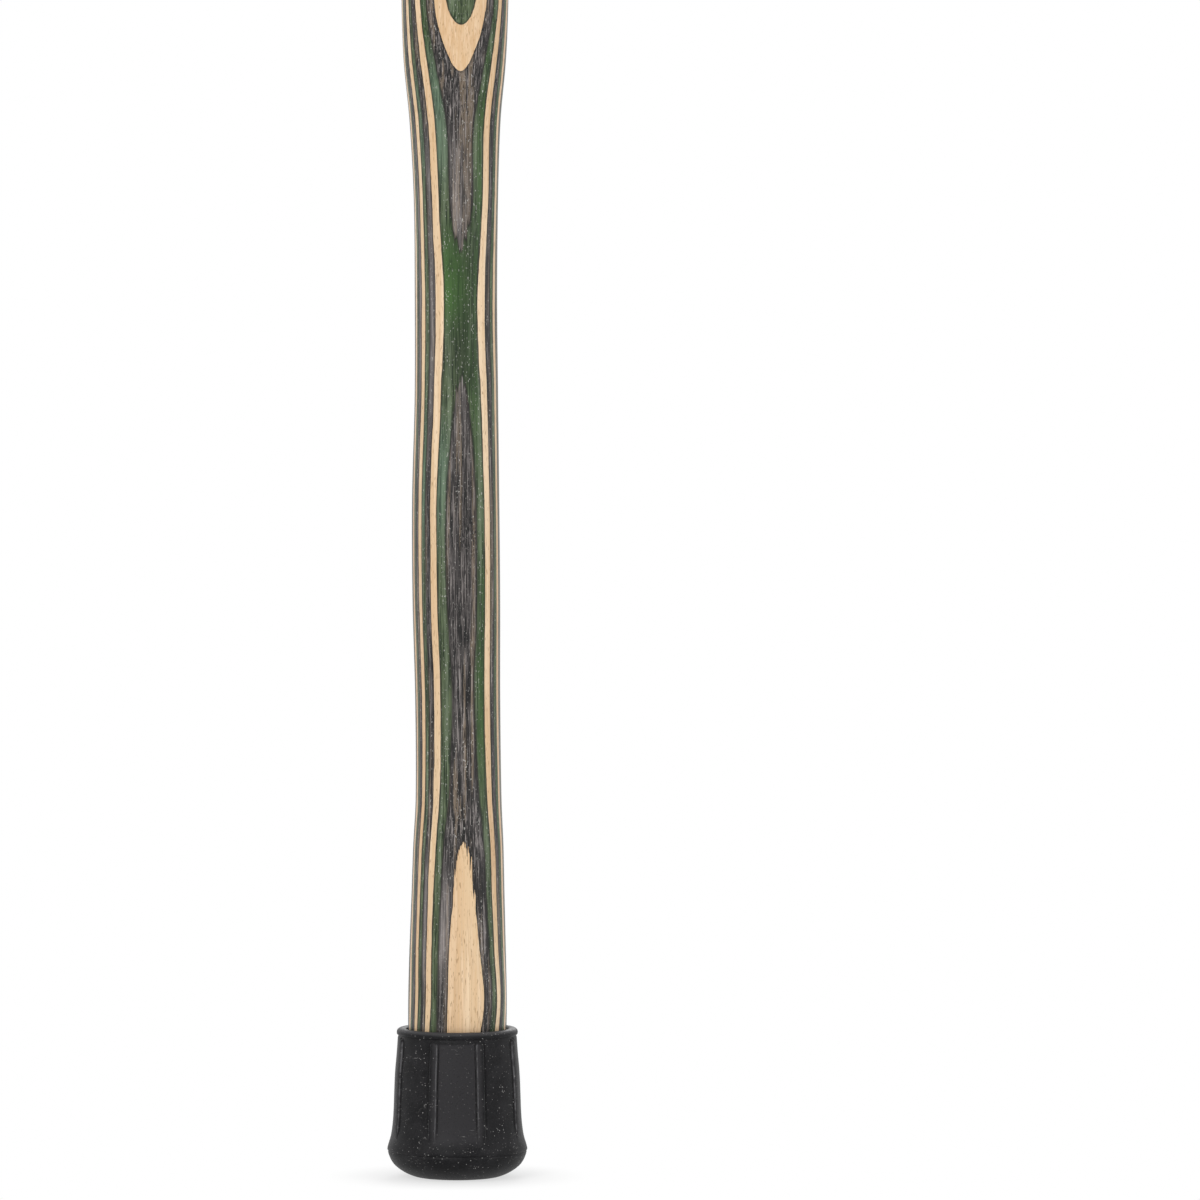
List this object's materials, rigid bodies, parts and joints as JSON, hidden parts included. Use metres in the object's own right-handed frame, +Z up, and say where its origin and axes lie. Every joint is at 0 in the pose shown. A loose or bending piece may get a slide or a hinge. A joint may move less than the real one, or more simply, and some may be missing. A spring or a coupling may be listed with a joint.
{
  "type": "hiking staff",
  "caption": "Free-form hiking staff carved from stacked grey, green and natural wood veneers, with a push-on ribbed black rubber ferrule.",
  "frame": {"origin": "on the ground, at the centre of the ferrule's flat base", "axes": "+Z up along the staff, from the ferrule to the top; the veneers are stacked along Y and the front is -Y"},
  "size_m": [0.0392, 0.0378, 1.219],
  "materials": {
    "veneer_grey": "grey-dyed birch veneer, clear satin lacquer",
    "veneer_green": "green-dyed birch veneer, clear satin lacquer",
    "veneer_natural": "natural birch veneer, clear satin lacquer",
    "rubber": "moulded, slightly satin",
    "steel": "zinc plated"
  },
  "bodies": {
    "shaft": {"ply_01_grey": "veneer_grey", "ply_02_green": "veneer_green", "ply_03_natural": "veneer_natural", "ply_04_grey": "veneer_grey", "ply_05_green": "veneer_green", "ply_06_natural": "veneer_natural", "ply_07_grey": "veneer_grey", "ply_08_green": "veneer_green", "ply_09_natural": "veneer_natural", "ply_10_grey": "veneer_grey", "ply_11_green": "veneer_green", "ply_12_natural": "veneer_natural", "ply_13_grey": "veneer_grey", "ply_14_green": "veneer_green", "ply_15_natural": "veneer_natural", "ply_16_grey": "veneer_grey", "ply_17_green": "veneer_green", "ply_18_natural": "veneer_natural", "ply_19_grey": "veneer_grey", "ply_20_green": "veneer_green", "ply_21_natural": "veneer_natural", "ply_22_grey": "veneer_grey", "ply_23_green": "veneer_green", "ply_24_natural": "veneer_natural"},
    "ferrule": {"rubber_ferrule": "rubber", "ferrule_washer": "steel"}
  },
  "joints": [
    {"name": "ferrule_pull_off", "type": "slide", "parent": "shaft", "child": "ferrule", "axis": [0, 0, -1], "range_m": [0, 0.045]}
  ]
}
